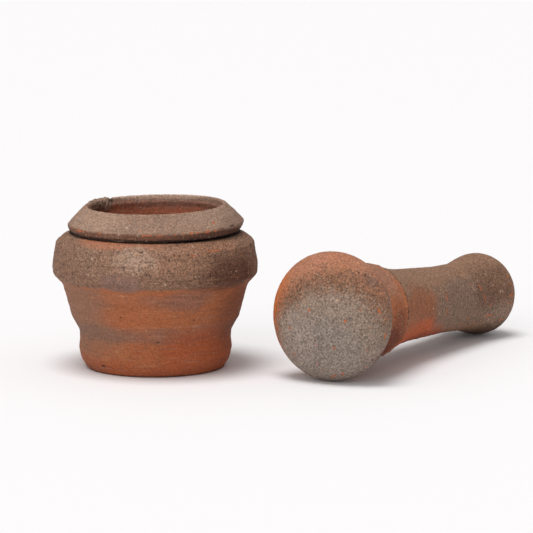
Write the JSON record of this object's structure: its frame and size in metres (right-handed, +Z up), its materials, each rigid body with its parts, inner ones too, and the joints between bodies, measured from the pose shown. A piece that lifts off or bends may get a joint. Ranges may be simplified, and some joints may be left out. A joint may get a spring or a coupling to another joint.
{
  "type": "mortar and pestle",
  "caption": "Squat turned clay mortar with a loose rim collar, and a long clay pestle with a domed head and knobbed handle lying beside it.",
  "frame": {"origin": "middle of the mortar's flat base, on the floor", "axes": "+Z up along the mortar's axis, +X from the mortar towards the side where the pestle lies, +Y away from the viewer, the way the pestle's handle runs"},
  "size_m": [0.2317, 0.1679, 0.0794],
  "materials": {
    "fired_orange_clay": "unglazed, coarse, fired orange and brown",
    "fired_brown_clay": "unglazed, coarse, fired grey-brown",
    "fired_grey_clay": "unglazed, coarse, fired grey with orange flashes",
    "fired_umber_clay": "unglazed, coarse, fired umber brown"
  },
  "bodies": {
    "mortar": {"mortar_body": "fired_orange_clay"},
    "collar": {"rim_collar": "fired_brown_clay"},
    "pestle": {"pestle_head": "fired_grey_clay", "pestle_handle": "fired_umber_clay"}
  },
  "joints": [
    {"name": "collar_lift", "type": "slide", "parent": "mortar", "child": "collar", "axis": [0, 0, 1], "range_m": [0, 0.04]},
    {"name": "pestle_lift", "type": "slide", "parent": "mortar", "child": "pestle", "axis": [0, 0, 1], "range_m": [0, 0.14]}
  ]
}
